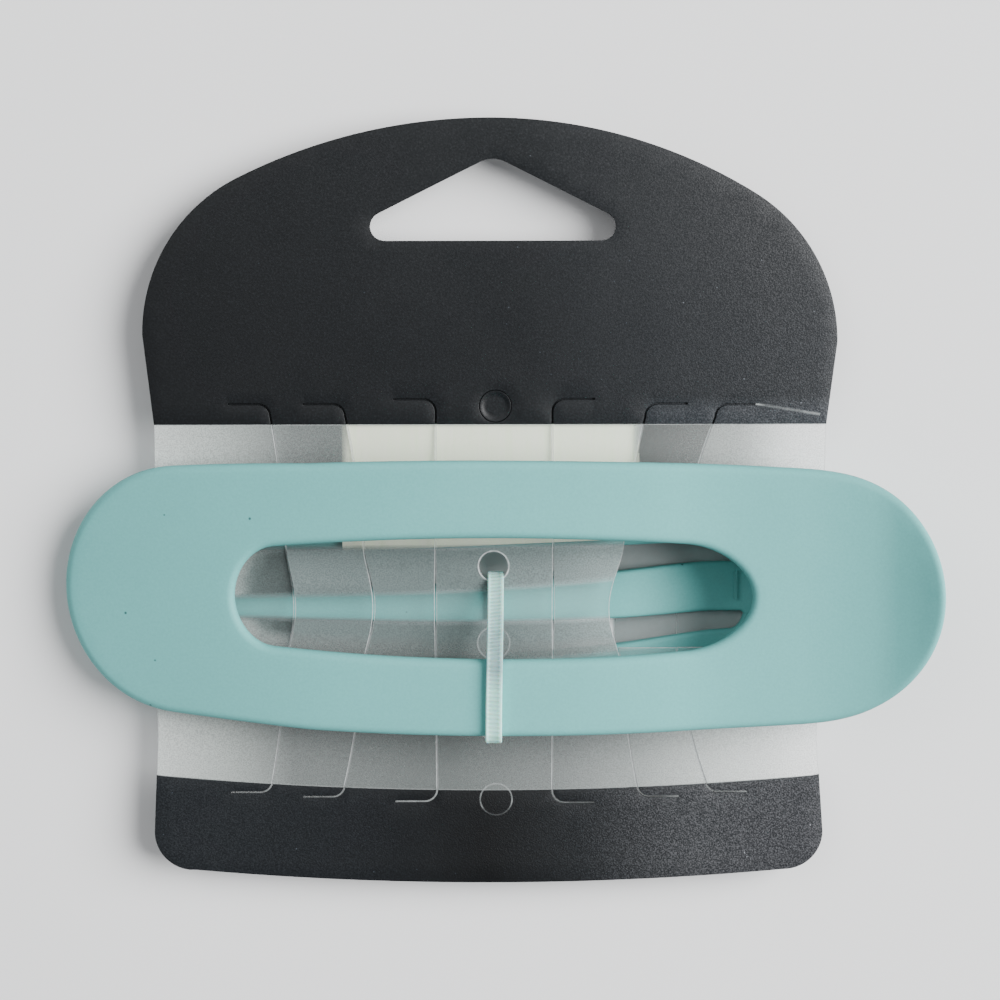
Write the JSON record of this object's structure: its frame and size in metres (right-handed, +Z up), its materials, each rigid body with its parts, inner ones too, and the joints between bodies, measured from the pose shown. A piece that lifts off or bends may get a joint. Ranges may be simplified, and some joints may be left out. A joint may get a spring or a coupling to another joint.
{
  "type": "hair clip on a display card",
  "caption": "Long flat spring hair clip with an arched slotted upper jaw, tied to a hanging display card with a clear window.",
  "frame": {"origin": "middle of the bounding box, on the surface that the clip's lower jaw lies on", "axes": "+X along the clip from its closed tip to its thumb tails, +Y to the card's hanging end, +Z up out of the card's printed face"},
  "size_m": [0.111, 0.098, 0.0157],
  "materials": {
    "jaw_plastic": "soft matte coating, pale teal",
    "steel": "plain bright wire",
    "card_print": "black print on plastic sheet, fine grain",
    "card_film": "frosted clear plastic sheet",
    "label_paper": "cream paper",
    "tie_nylon": "translucent natural nylon, ribbed"
  },
  "bodies": {
    "lower": {"lower_jaw": "jaw_plastic"},
    "upper": {"upper_jaw": "jaw_plastic", "hinge_pin": "steel", "torsion_spring": "steel", "card_header": "card_print", "card_window": "card_film", "card_footer": "card_print", "back_label": "label_paper", "zip_tie": "tie_nylon"}
  },
  "joints": [
    {"name": "jaw_hinge", "type": "hinge", "parent": "lower", "child": "upper", "pos_m": [0.035, -0.0109, 0.0061], "axis": [0, 1, 0], "range_deg": [0, 20], "stiffness_Nm_per_rad": 0.01, "springref_deg": -11.46, "deforming": ["torsion_spring"]}
  ]
}
